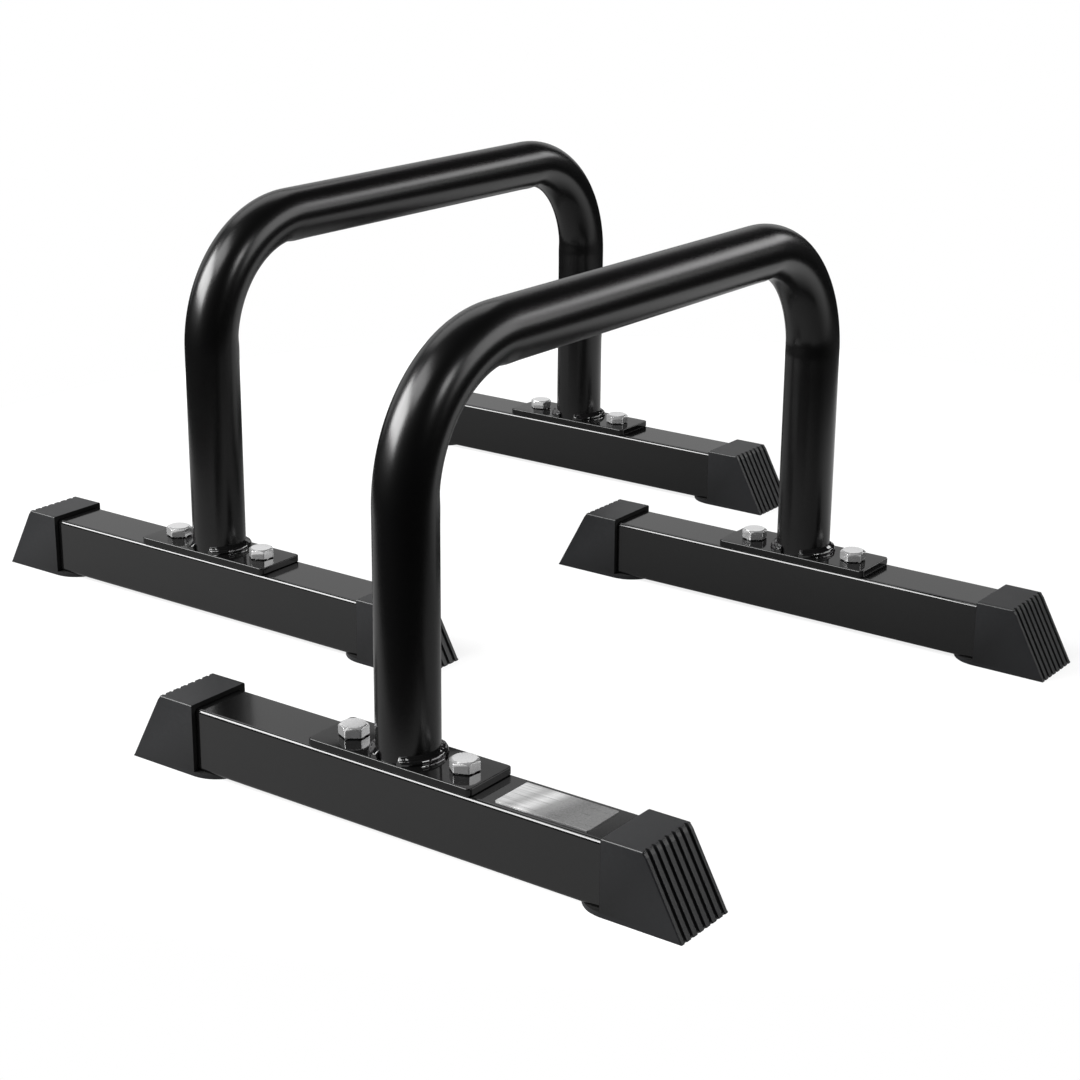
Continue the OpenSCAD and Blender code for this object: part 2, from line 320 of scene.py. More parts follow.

# Painted highlight on edges that stand out, painted shade in corners that lie in, broken by a noise
edge_tree, start, end = node_group(
    "painted_edge_light_and_shade",
    {"Breaks per metre": 300, "Rub amount": 1, "Dust amount": 1},
    {"Highlight": "NodeSocketFloat", "Shade": "NodeSocketFloat"},
)
nodes, links = edge_tree.nodes, edge_tree.links
place = nodes.new("ShaderNodeTexCoord").outputs["Object"]
broken = noise(nodes, links, place, start.outputs["Breaks per metre"], detail=4, roughness=0.65)
for layer, amount, label in (("convex", "Rub amount", "Highlight"), ("crevice", "Dust amount", "Shade")):
    edge = nodes.new("ShaderNodeAttribute")
    edge.attribute_name = layer
    partly = math_node(nodes, links, "MULTIPLY", edge.outputs["Fac"], broken)
    scaled = math_node(nodes, links, "MULTIPLY", partly, start.outputs[amount])
    links.new(scaled, end.inputs[label])


def use_group(nodes, tree, **values):
    """A node of the group, with its inputs set by name."""
    node = nodes.new("ShaderNodeGroup")
    node.node_tree = tree
    for label, value in values.items():
        node.inputs[label.replace("_", " ")].default_value = value
    return node


def between(nodes, links, mask, low, high):
    """A number that goes from low to high as the mask goes from 0 to 1."""
    node = nodes.new("ShaderNodeMapRange")
    links.new(mask, node.inputs["Value"])
    node.inputs["To Min"].default_value = low
    node.inputs["To Max"].default_value = high
    return node.outputs["Result"]


def blend_colour(nodes, links, mask, low, high):
    """A colour that goes from low to high, each a colour or a socket, with the mask."""
    node = nodes.new("ShaderNodeMix")
    node.data_type = "RGBA"
    links.new(mask, node.inputs["Factor"])
    for label, value in (("A", low), ("B", high)):
        socket = next(s for s in node.inputs if s.name == label and s.type == "RGBA")
        if isinstance(value, bpy.types.NodeSocket):
            links.new(value, socket)
        else:
            socket.default_value = value
    return next(s for s in node.outputs if s.type == "RGBA")


def bump(nodes, links, height, depth):
    """The normal of a relief, where a height of 1 stands up by depth."""
    node = nodes.new("ShaderNodeBump")
    node.inputs["Strength"].default_value = 1
    node.inputs["Distance"].default_value = depth
    links.new(height, node.inputs["Height"])
    return node.outputs["Normal"]


def surface_material(name):
    """A material with one Principled surface."""
    material, nodes, links, output = new_material(name)
    surface = nodes.new("ShaderNodeBsdfPrincipled")
    links.new(surface.outputs["BSDF"], output.inputs["Surface"])
    return material, nodes, links, surface


def paint(name, dark, light, edge, rough, grains, depth, level, ior=1.5):
    """Sprayed, baked paint: two tones in soft clouds, an even grain, painted edge light and shade.
    """
    material, nodes, links, surface = surface_material(name)
    skin = use_group(nodes, grain_tree, Grains_per_metre=grains, Clouds_per_metre=14)
    edge_light_shade = use_group(nodes, edge_tree, Breaks_per_metre=400, Rub_amount=1.0, Dust_amount=1.0)
    body_colour = blend_colour(nodes, links, skin.outputs["Cloud"], dark, light)
    # The edge colour is a painted highlight on convex edges, and the dark colour is painted shade
    # in corners
    edged = blend_colour(nodes, links, edge_light_shade.outputs["Highlight"], body_colour, edge)
    crevice_shaded = blend_colour(nodes, links, edge_light_shade.outputs["Shade"], edged, dark)
    links.new(crevice_shaded, surface.inputs["Base Color"])
    links.new(between(nodes, links, skin.outputs["Cloud"], *rough), surface.inputs["Roughness"])
    links.new(bump(nodes, links, skin.outputs["Grain"], depth), surface.inputs["Normal"])
    surface.inputs["Specular IOR Level"].default_value = level
    surface.inputs["IOR"].default_value = ior
    return material


rail_paint = paint(
    "satin_black_paint",
    dark=(0.0010, 0.0010, 0.0010, 1),
    light=(0.0018, 0.0018, 0.0019, 1),
    edge=(0.006, 0.006, 0.006, 1),
    rough=(0.23, 0.28),
    grains=3000,
    depth=0.0015 * MM,
    level=0.5,
)


def smooth(share):
    """Eases a share in and out, and keeps it from 0 to 1."""
    share = max(0.0, min(1.0, share))
    return share * share * (3 - 2 * share)


def press(run):
    """How far the inside of the bend is pressed in, at a run past the point where it starts."""
    return pinch * smooth(run / pinch_run) - bulge * math.exp(-((run / bulge_run) ** 2))


def rail_stations(low, high):
    """Places along the tube's axis as (centre, direction to the outside, press), and its radius."""
    radius = (high.y - low.y) / 2
    middle = (low.y + high.y) / 2
    front, rear = low.x + radius, high.x - radius
    grip = high.z - radius
    turn = grip - bend_radius
    bend_length = bend_radius * math.pi / 2
    stations = []

    def straight(begin, finish, outside, bent):
        # bent tells for both ends whether the tube bends there, and so bulges a little before it
        length = (finish - begin).length
        runs = [length * i / straight_steps for i in range(straight_steps + 1)]
        near = {length + p: p for p in bulge_places if bent[1]}
        near.update({-p: p for p in bulge_places if bent[0]})
        for run in sorted(set(runs) | set(near)):
            centre = begin.lerp(finish, run / length)
            past = near.get(run, 0.0 if run in (0.0, length) else -1.0)
            free = (run == 0.0 and not bent[0]) or (run == length and not bent[1])
            stations.append((centre, outside, 0.0 if free else press(past)))

    def bend(centre, first):
        for i in range(1, bend_steps):
            share = i / bend_steps
            angle = math.radians(first + 90 * share)
            outside = Vector((-math.cos(angle), 0, math.sin(angle)))
            run = bend_length * min(share, 1 - share)
            stations.append((centre + outside * bend_radius, outside, press(run)))

    def spot(x, z):
        return Vector((x, middle, z))

    straight(spot(front, low.z), spot(front, turn), Vector((-1, 0, 0)), (False, True))
    bend(spot(front + bend_radius, turn), 0)
    grip_ends = spot(front + bend_radius, grip), spot(rear - bend_radius, grip)
    straight(*grip_ends, Vector((0, 0, 1)), (True, True))
    bend(spot(rear - bend_radius, turn), 90)
    straight(spot(rear, turn), spot(rear, low.z), Vector((1, 0, 0)), (True, False))
    return stations, radius


def rail_ring(bm, station, radius, pressed):
    """A ring of vertices round the tube's axis, pressed in on the inside of the bend."""
    centre, outside, press_in = station
    ring = []
    for i in range(round_steps):
        angle = 2 * math.pi * i / round_steps
        inward = max(0.0, -math.cos(angle)) ** pinch_narrow
        reach = radius - (press_in * inward if pressed else 0)
        across = outside * math.cos(angle) + Vector((0, math.sin(angle), 0))
        ring.append(bm.verts.new(centre + across * reach))
    return ring


for side in SIDES:
    stations, radius = rail_stations(*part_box(f"{side}_rail"))
    bm = bmesh.new()
    outer = [rail_ring(bm, s, radius, True) for s in stations]
    inside = stations[::inside_every] + stations[-1:]
    inner = [rail_ring(bm, s, radius - rail_wall, False) for s in inside]
    join_rings(bm, outer + inner[::-1] + outer[:1])
    piece_from(bm, f"{side}_bent_rail", rail_paint, f"{side}_bar", [f"{side}_rail"])


# Flange plates
# A flat plate cut from 5 mm steel lies under each post and is drilled for two M10 bolts. It was
# painted together with the post, and the black settled glossier on its flat top and soft edges.
plate_corner = 3 * MM
plate_edge = 0.8 * MM
bolt_edge = 18.5 * MM
bolt_hole = 11 * MM
hole_steps = 48
corner_steps = 10


def round_rectangle(width, length, radius):
    """The outline of a rectangle with round corners, counter-clockwise."""
    points = []
    for quarter, (x, y) in enumerate(((1, 1), (-1, 1), (-1, -1), (1, -1))):
        centre = Vector((x * (width / 2 - radius), y * (length / 2 - radius)))
        for i in range(corner_steps + 1):
            angle = math.radians(90 * (quarter + i / corner_steps))
            points.append(centre + radius * Vector((math.cos(angle), math.sin(angle))))
    return points


def circle_hole(x, y, diameter):
    """The outline of a round hole, clockwise."""
    radius = diameter / 2
    angles = [-2 * math.pi * i / hole_steps for i in range(hole_steps)]
    return [Vector((x + radius * math.cos(a), y + radius * math.sin(a))) for a in angles]


def inset(points, depth):
    """The outline moved into the material, which lies on its left."""
    moved = []
    for before, here, after in zip(points[-1:] + points[:-1], points, points[1:] + points[:1]):
        into, out = (here - before).normalized(), (after - here).normalized()
        left = Vector((-into.y - out.y, into.x + out.x)).normalized()
        moved.append(here + left * depth)
    return moved


def ring_edges(bm, ring):
    """The edges round a closed ring of vertices."""
    return [bm.edges.get(pair) for pair in zip(ring, ring[1:] + ring[:1])]


def slab(outlines, low, high, edge, edge_steps=3):
    """A slab with soft edges: the first outline is its rim, the others are holes through it."""
    bm = bmesh.new()
    quarter = [math.radians(90 * i / edge_steps) for i in range(edge_steps + 1)]
    rows = [(edge * (1 - math.sin(a)), low + edge * (1 - math.cos(a))) for a in quarter]
    rows += [(edge * (1 - math.cos(a)), high - edge * (1 - math.sin(a))) for a in quarter]
    bottom, top = [], []
    for outline in outlines:
        rings = [[bm.verts.new((*p, z)) for p in inset(outline, depth)] for depth, z in rows]
        join_rings(bm, rings)
        bottom += ring_edges(bm, rings[0])
        top += ring_edges(bm, rings[-1])
    for edges in (bottom, top):
        bmesh.ops.triangle_fill(bm, use_beauty=True, edges=edges)
    return bm


plate_paint = paint(
    "gloss_black_paint",
    dark=(0.0018, 0.0018, 0.0018, 1),
    light=(0.0034, 0.0034, 0.0035, 1),
    edge=(0.006, 0.006, 0.006, 1),
    rough=(0.05, 0.09),
    grains=1800,
    depth=0.001 * MM,
    level=0.5,
    ior=1.4,
)

for side in SIDES:
    for end in ENDS:
        node = f"{side}_{end}_flange_plate"
        low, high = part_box(node)
        centre = (low + high) / 2
        width, length = high.x - low.x, high.y - low.y
        bolt_place = length / 2 - bolt_edge
        holes = [circle_hole(0, y, bolt_hole) for y in (-bolt_place, bolt_place)]
        rim = round_rectangle(width, length, plate_corner)
        bm = slab([rim] + holes, low.z - centre.z, high.z - centre.z, plate_edge)
        bmesh.ops.translate(bm, verts=bm.verts, vec=centre)
        piece_from(bm, f"{side}_{end}_plate", plate_paint, f"{side}_bar", [node])


# Weld beads
# A hand-laid fillet weld joins the post to the plate on the two sides where the plate reaches out
# past it. The painter sprayed over the ripples, which shine more than the flat steel.
weld_leg = 4.5 * MM
weld_arc = math.radians(134)
weld_ripples = 9
fine_ripples = 27
long_ridges = 2
weld_steps = 216
weld_end = 1.1 * MM
weld_end_angles = [math.radians(angle) for angle in (80, 55, 30)]
weld_gap = 0.05 * MM
weld_to_edge = 0.3 * MM
# Keeps the distance to the plate's edge from growing without end along the plate
least_slant = 0.2
# How thick the bead is at its two ends, next to 1 in its middle
end_swell = 0.8
# How far the ripples bow forward in the middle of the bead, as a share of its length
ripple_bow = 0.045
# Thickness of the bead without its ripples, and what each kind of ripple adds
bead_base, coarse_height, fine_height, ridge_height = 0.94, 0.01, 0.004, 0.045
# Corners of the bead's section in legs outwards and upwards, from the post over the plate and back
weld_corners = [
    (0.0, 0.0),
    (1.0, 0.0),
    (1.0, 0.14),
    (0.94, 0.48),
    (0.74, 0.85),
    (0.42, 1.12),
    (0.0, 1.3),
]
weld_profile = weld_corners[:2]
for (out_a, rise_a), (out_b, rise_b) in zip(weld_corners[1:], weld_corners[2:]):
    for share in (0.25, 0.5, 0.75, 1.0):
        weld_profile.append((out_a + (out_b - out_a) * share, rise_a + (rise_b - rise_a) * share))
weld_middle = (0.4, 0.5)


def bead_size(share, across):
    """Size of the bead at a share of its arc, with ripples that bow forward in its middle."""
    swell = end_swell + (1 - end_swell) * math.sqrt(max(0.0, math.sin(math.pi * share)))
    place = share - 4 * ripple_bow * across * (1 - across)
    coarse = coarse_height * math.cos(2 * math.pi * weld_ripples * place)
    fine = fine_height * (1 - (fine_ripples * place) % 1) ** 2
    ridge = ridge_height * math.cos(2 * math.pi * long_ridges * across)
    return weld_leg * swell * (bead_base + coarse + fine + ridge)


def bead_ring(bm, centre, turn, share, shrink, post_radius, half_width):
    """One section of the bead, drawn in to its middle by shrink, never past the plate's edge."""
    limit = (half_width - weld_to_edge) / max(least_slant, abs(math.cos(turn)))
    ring = []
    for k, (out, rise) in enumerate(weld_profile):
        size = bead_size(share, k / (len(weld_profile) - 1))
        out = weld_middle[0] + (out - weld_middle[0]) * shrink
        rise = max(0.0, weld_middle[1] * shrink + (rise - weld_middle[1]) * shrink)
        reach = min(post_radius + weld_gap + size * out, limit)
        spot = Vector((reach * math.cos(turn), reach * math.sin(turn), size * rise))
        ring.append(bm.verts.new(centre + spot))
    return ring


weld_paint = paint(
    "painted_weld",
    dark=(0.0020, 0.0020, 0.0020, 1),
    light=(0.0050, 0.0050, 0.0052, 1),
    edge=(0.012, 0.012, 0.012, 1),
    rough=(0.06, 0.1),
    grains=500,
    depth=0.01 * MM,
    level=1.0,
)

for side in SIDES:
    rail_low, rail_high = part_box(f"{side}_rail")
    post_radius = (rail_high.y - rail_low.y) / 2
    for end in ENDS:
        node = f"{side}_{end}_welds"
        low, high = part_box(node)
        centre = Vector(((low.x + high.x) / 2, (low.y + high.y) / 2, low.z))
        plate_low, plate_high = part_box(f"{side}_{end}_flange_plate")
        half_width = (plate_high.x - plate_low.x) / 2
        bm = bmesh.new()
        for hand in (90, -90):
            first = math.radians(hand) - weld_arc / 2
            last = first + weld_arc
            past = weld_end / post_radius
            shares = [step / weld_steps for step in range(weld_steps + 1)]
            sections = [(first - past * math.sin(a), 0, math.cos(a)) for a in weld_end_angles]
            sections += [(first + weld_arc * share, share, 1.0) for share in shares]
            sections += [(last + past * math.sin(a), 1, math.cos(a)) for a in weld_end_angles[::-1]]
            rings = [bead_ring(bm, centre, *s, post_radius, half_width) for s in sections]
            join_rings(bm, rings)
            bm.faces.new(rings[0])
            bm.faces.new(rings[-1])
        piece_from(
            bm, f"{side}_{end}_beads", weld_paint, f"{side}_bar", [node], sharp=55
        )


# Foot tubes
# A square steel tube lies across under each plate. It is drawn with round corners, drilled for
# the bolts and powder coated in a satin black that is a shade paler than the rail's.
tube_corner = 2.5 * MM
tube_wall = 2 * MM
tube_edge = 0.2 * MM

tube_paint = paint(
    "satin_powder_coat",
    dark=(0.0034, 0.0034, 0.0034, 1),
    light=(0.0048, 0.0048, 0.0049, 1),
    edge=(0.008, 0.008, 0.008, 1),
    rough=(0.09, 0.12),
    grains=3000,
    depth=0.001 * MM,
    level=0.62,
)


def cut(piece, low, high, places, diameter):
    """Drills upright holes through the piece from low to high."""
    drill = bmesh.new()
    for x, y in places:
        made = bmesh.ops.create_cone(
            drill,
            cap_ends=True,
            segments=hole_steps,
            radius1=diameter / 2,
            radius2=diameter / 2,
            depth=high - low,
        )
        bmesh.ops.translate(drill, verts=made["verts"], vec=(x, y, (low + high) / 2))
    tool_mesh = bpy.data.meshes.new("drill")
    drill.to_mesh(tool_mesh)
    drill.free()
    tool = bpy.data.objects.new("drill", tool_mesh)
    bpy.context.scene.collection.objects.link(tool)
    boring = piece.modifiers.new("drilled", "BOOLEAN")
    boring.operation = "DIFFERENCE"
    boring.solver = "EXACT"
    boring.object = tool
    others = [m for m in piece.modifiers if m != boring]
    for other in others:
        other.show_viewport = False
    graph = bpy.context.evaluated_depsgraph_get()
    drilled = bpy.data.meshes.new_from_object(piece.evaluated_get(graph))
    for other in others:
        other.show_viewport = True
    piece.modifiers.remove(boring)
    piece.data = drilled
    bpy.data.objects.remove(tool)
    bpy.data.meshes.remove(tool_mesh)


for side in SIDES:
    for end in ENDS:
        node = f"{side}_{end}_foot_tube"
        low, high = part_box(node)
        centre = (low + high) / 2
        size, length = high.x - low.x, high.y - low.y
        rim = round_rectangle(size, size, tube_corner)
        inside = size - 2 * tube_wall
        bore = round_rectangle(inside, inside, tube_corner - tube_wall)[::-1]
        bm = slab([rim, bore], -length / 2, length / 2, tube_edge)
        bmesh.ops.transform(bm, verts=bm.verts, matrix=Matrix.Rotation(math.radians(90), 4, "X"))
        bmesh.ops.translate(bm, verts=bm.verts, vec=centre)
        tube = piece_from(bm, f"{side}_{end}_tube", tube_paint, f"{side}_bar", [node])
        spots = [(centre.x, centre.y + y) for y in (-bolt_place, bolt_place)]
        cut(tube, high.z - 2 * tube_wall, high.z + tube_wall, spots, bolt_hole)


# Weld nuts
# Two nuts are welded inside each foot tube, under its top wall, so the bolts tighten from above
# without a spanner. They stay bare, in the dull grey of hardened steel.
nut_dark = (0.12, 0.12, 0.125, 1)
nut_light = (0.3, 0.295, 0.285, 1)

nut_metal, nodes, links, surface = surface_material("bare_nut_steel")
skin = use_group(nodes, grain_tree, Grains_per_metre=1800, Clouds_per_metre=60)
tint = blend_colour(nodes, links, skin.outputs["Cloud"], nut_dark, nut_light)
links.new(tint, surface.inputs["Base Color"])
links.new(between(nodes, links, skin.outputs["Cloud"], 0.35, 0.6), surface.inputs["Roughness"])
links.new(bump(nodes, links, skin.outputs["Grain"], 0.02 * MM), surface.inputs["Normal"])
surface.inputs["Metallic"].default_value = 1.0

for side in SIDES:
    for end in ENDS:
        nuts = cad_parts[f"{side}_{end}_weld_nuts"]
        for slot in nuts.material_slots:
            slot.material = nut_metal


# Bolts
# Four M10 hexagon bolts hold each rail on its two feet, two through each plate. They are cold
# headed, with a chamfer round the top and a washer face below, and plated in bright zinc.
head_flats = 16 * MM
head_height = 7.2 * MM
washer_face = 0.7 * MM
head_round = 0.89 * head_flats
washer_d = 0.88 * head_flats
shank_d = 10 * MM
shank_length = 20 * MM
shank_tip = 1 * MM
chamfer_slope = math.tan(math.radians(33))
chamfer_blend = 0.08 * MM
head_edge = 0.16 * MM
flat_steps = 18
# The higher this power, the sharper the head's six corners
corner_power = 50
zinc_dark = (0.84, 0.84, 0.845, 1)
zinc_light = (0.92, 0.92, 0.925, 1)
# Painted highlight for the head's edges and painted shade for its corners
zinc_edge_highlight = (0.98, 0.98, 0.98, 1)
zinc_corner_shade = (0.2, 0.2, 0.2, 1)
# Degrees that each head was left at: the inner bolt of a foot, then the outer one
head_turns = {
    "right_front": (6, -8),
    "right_rear": (12, 5),
    "left_front": (-6, 9),
    "left_rear": (4, -13),
}


def head_directions():
    """Angles round the head, closest together at its six corners."""
    angles = []
    for face in range(6):
        for i in range(flat_steps):
            share = math.sin(math.pi / 2 * (2 * i / flat_steps - 1))
            angles.append(math.radians(60 * face + 30 + 30 * share))
    return angles


def hexagon_reach(angle):
    """Distance from the axis to the side of the head, with its corners a little rounded."""
    turns = [angle - math.radians(60 * k + 30) for k in range(6)]
    total = sum(max(0.0, math.cos(turn)) ** corner_power for turn in turns)
    return head_flats / 2 / total ** (1 / corner_power)


def chamfer_height(reach):
    """Height of the head's top at a distance from its axis: flat, then sloping away."""
    past = reach - head_round / 2
    if past <= -chamfer_blend:
        drop = 0.0
    elif past >= chamfer_blend:
        drop = past * chamfer_slope
    else:
        drop = chamfer_slope * (past + chamfer_blend) ** 2 / (4 * chamfer_blend)
    return head_height - drop


def bolt_section(side):
    """Points (reach, height) from the middle of the head, over its side and down to the tip."""
    rim = side - head_edge
    crown = head_round / 2 - chamfer_blend
    slope = head_round / 2 + chamfer_blend
    points = [(crown * share, head_height) for share in (0.05, 0.35, 0.7, 1.0)]
    sloping = [min(head_round / 2 + chamfer_blend * past, rim) for past in (-0.5, 0.0, 0.5, 1.0)]
    sloping += [rim * share + min(slope, rim) * (1 - share) for share in (0.5, 1.0)]
    points += [(reach, chamfer_height(reach)) for reach in sloping]
    for angle in (22.5, 45, 67.5, 90):
        out = head_edge * math.sin(math.radians(angle))
        down = head_edge * (1 - math.cos(math.radians(angle)))
        points.append((rim + out, chamfer_height(rim) - down))
    return points + [
        (side, washer_face + head_edge),
        (rim, washer_face),
        (washer_d / 2, washer_face),
        (washer_d / 2, 0),
        (shank_d / 2, 0),
        (shank_d / 2, shank_tip - shank_length),
        (shank_d / 2 - shank_tip, -shank_length),
    ]


def bolt_rings(bm, turn):
    """Rings of vertices along the sections of a bolt whose head is turned this far."""
    angles = head_directions()
    sections = [bolt_section(hexagon_reach(angle)) for angle in angles]
    rings = []
    for points in zip(*sections):
        ring = []
        for angle, (reach, height) in zip(angles, points):
            direction = Vector((math.cos(angle + turn), math.sin(angle + turn), 0))
            ring.append(bm.verts.new(direction * reach + Vector((0, 0, height))))
        rings.append(ring)
    return rings


zinc, nodes, links, surface = surface_material("bright_zinc")
skin = use_group(nodes, grain_tree, Grains_per_metre=2200, Clouds_per_metre=90)
edge_light_shade = use_group(nodes, edge_tree, Breaks_per_metre=900, Rub_amount=1.2, Dust_amount=1.0)
tint = blend_colour(nodes, links, skin.outputs["Cloud"], zinc_dark, zinc_light)
# The edges get a painted highlight and the corners painted shade
edge_lit = blend_colour(nodes, links, edge_light_shade.outputs["Highlight"], tint, zinc_edge_highlight)
crevice_shaded = blend_colour(nodes, links, edge_light_shade.outputs["Shade"], edge_lit, zinc_corner_shade)
links.new(crevice_shaded, surface.inputs["Base Color"])
links.new(between(nodes, links, skin.outputs["Cloud"], 0.08, 0.14), surface.inputs["Roughness"])
links.new(bump(nodes, links, skin.outputs["Grain"], 0.001 * MM), surface.inputs["Normal"])
surface.inputs["Metallic"].default_value = 0.74

for side in SIDES:
    for end in ENDS:
        plate_low, plate_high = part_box(f"{side}_{end}_flange_plate")
        centre = (plate_low + plate_high) / 2
        outward = -1 if side == "right" else 1
        bm = bmesh.new()
        for hand, turn in zip((-outward, outward), head_turns[f"{side}_{end}"]):
            bolt = bmesh.new()
            rings = bolt_rings(bolt, math.radians(turn))
            join_rings(bolt, rings)
            bolt.faces.new(rings[0])
            bolt.faces.new(rings[-1])
            spot = Vector((centre.x, centre.y + hand * bolt_place, plate_high.z))
            bmesh.ops.translate(bolt, verts=bolt.verts, vec=spot)
            single = bpy.data.meshes.new("bolt")
            bolt.to_mesh(single)
            bolt.free()
            bm.from_mesh(single)
            bpy.data.meshes.remove(single)
        node = f"{side}_{end}_bolts"
        piece_from(
            bm, f"{side}_{end}_hex_bolts", zinc, f"{side}_bar", [node], sharp=50
        )


# End caps
# Each end of a foot is pushed into a moulded rubber cap: a collar over the tube, a nose that
# slopes down to the floor with seven grooves against slipping, and a tongue under the tube.
cap_top_length = 27 * MM
cap_wall = 3 * MM
cap_nose_wall = 3 * MM
socket_fit = 0.15 * MM
cap_edge_radius = 1.1 * MM
cap_face_radius = 1 * MM
groove_count = 7
groove_width = 2.5 * MM
groove_depth = 1.8 * MM
groove_margin = 3.15 * MM
groove_lip = 0.3 * MM
# The grooves run out just above the floor, where a thin web joins the ribs
web_height = 0.9 * MM
web_top = 1.2 * web_height
web_share = 0.35
tongue_length = 22.5 * MM
lip_radius = 0.5 * MM
floor_radius = 0.5 * MM
# Rounding at the top of a groove's lips and of its bed, as a share of cap_face_radius
lip_rounding = 0.8
bed_rounding = 0.35
# Edges along the back of every ring, and how many lie on each side of the socket
back_steps = 120
rim_steps = 8
depth_steps = 40
# Edges along each of the cap's arcs
corner_arc_steps = 5
lip_arc_steps = 3
bed_arc_steps = 10
tongue_arc_steps = 40
merge_gap = 0.0001 * MM
rubber_dark = (0.0046, 0.0049, 0.0058, 1)
rubber_light = (0.0070, 0.0074, 0.0086, 1)
# Painted highlight on the lips and edges, painted shade in the grooves and corners
rubber_edge_highlight = (0.030, 0.0305, 0.032, 1)
rubber_groove_shade = (0.001, 0.001, 0.001, 1)
# Painted shade at the collar's mouth: its colour, how deep it reaches, and the sill above the
# tongue
mouth_painted_shade = (0.0006, 0.0006, 0.0006, 1)
mouth_depth = 0.2 * MM
mouth_sill = cap_wall - 0.05 * MM


def arc(centre, radius, first, last, steps):
    """Points (x, y) along an arc, given in degrees."""
    angles = [math.radians(first + (last - first) * i / steps) for i in range(steps + 1)]
    return [(centre[0] + radius * math.cos(a), centre[1] + radius * math.sin(a)) for a in angles]


def nose_outline(half_width, slope):
    """The grooved end from +X to -X, as (x, y from the sloping face, rounding at its top)."""
    steep = 1 / math.cos(slope)
    pitch = (2 * half_width - 2 * groove_margin - groove_width) / (groove_count - 1)
    bed = groove_width / 2
    lip = bed + groove_lip
    corner = half_width - cap_face_radius
    line = []

    def add(x, y, radius, first, last, steps, rounding):
        line.extend((*point, rounding) for point in arc((x, y), radius, first, last, steps))

    add(corner, -cap_face_radius, cap_face_radius, 0, 90, corner_arc_steps, 1.0)
    for i in reversed(range(groove_count)):
        middle = (i - (groove_count - 1) / 2) * pitch
        add(middle + lip, -groove_lip, groove_lip, 90, 180, lip_arc_steps, lip_rounding)
        add(middle, bed - groove_depth, bed, 0, -180, bed_arc_steps, bed_rounding)
        add(middle - lip, -groove_lip, groove_lip, 0, 90, lip_arc_steps, lip_rounding)
        if i:
            line.append((middle - pitch / 2, 0.0, 1.0))
    add(-corner, -cap_face_radius, cap_face_radius, 90, 180, corner_arc_steps, 1.0)
    return [(x, y * steep, rounding * cap_face_radius) for x, y, rounding in line]


def spread(points, count):
    """Points at count equal steps along a line of corner points."""
    lengths = [math.dist(a, b) for a, b in zip(points, points[1:])]
    total = sum(lengths)
    spaced = []
    for i in range(count + 1):
        ahead = total * i / count
        for a, b, length in zip(points, points[1:], lengths):
            if ahead <= length or (a, b) == (points[-2], points[-1]):
                share = min(1.0, ahead / length)
                spaced.append((a[0] + (b[0] - a[0]) * share, a[1] + (b[1] - a[1]) * share))
                break
            ahead -= length
    return spaced


def stepped(corners, steps):
    """Points along a line of corners, with a number of steps from each to the next."""
    parts = [spread(corners[i : i + 2], count) for i, count in enumerate(steps)]
    return [point for part in parts for point in part[:-1]] + [corners[-1]]


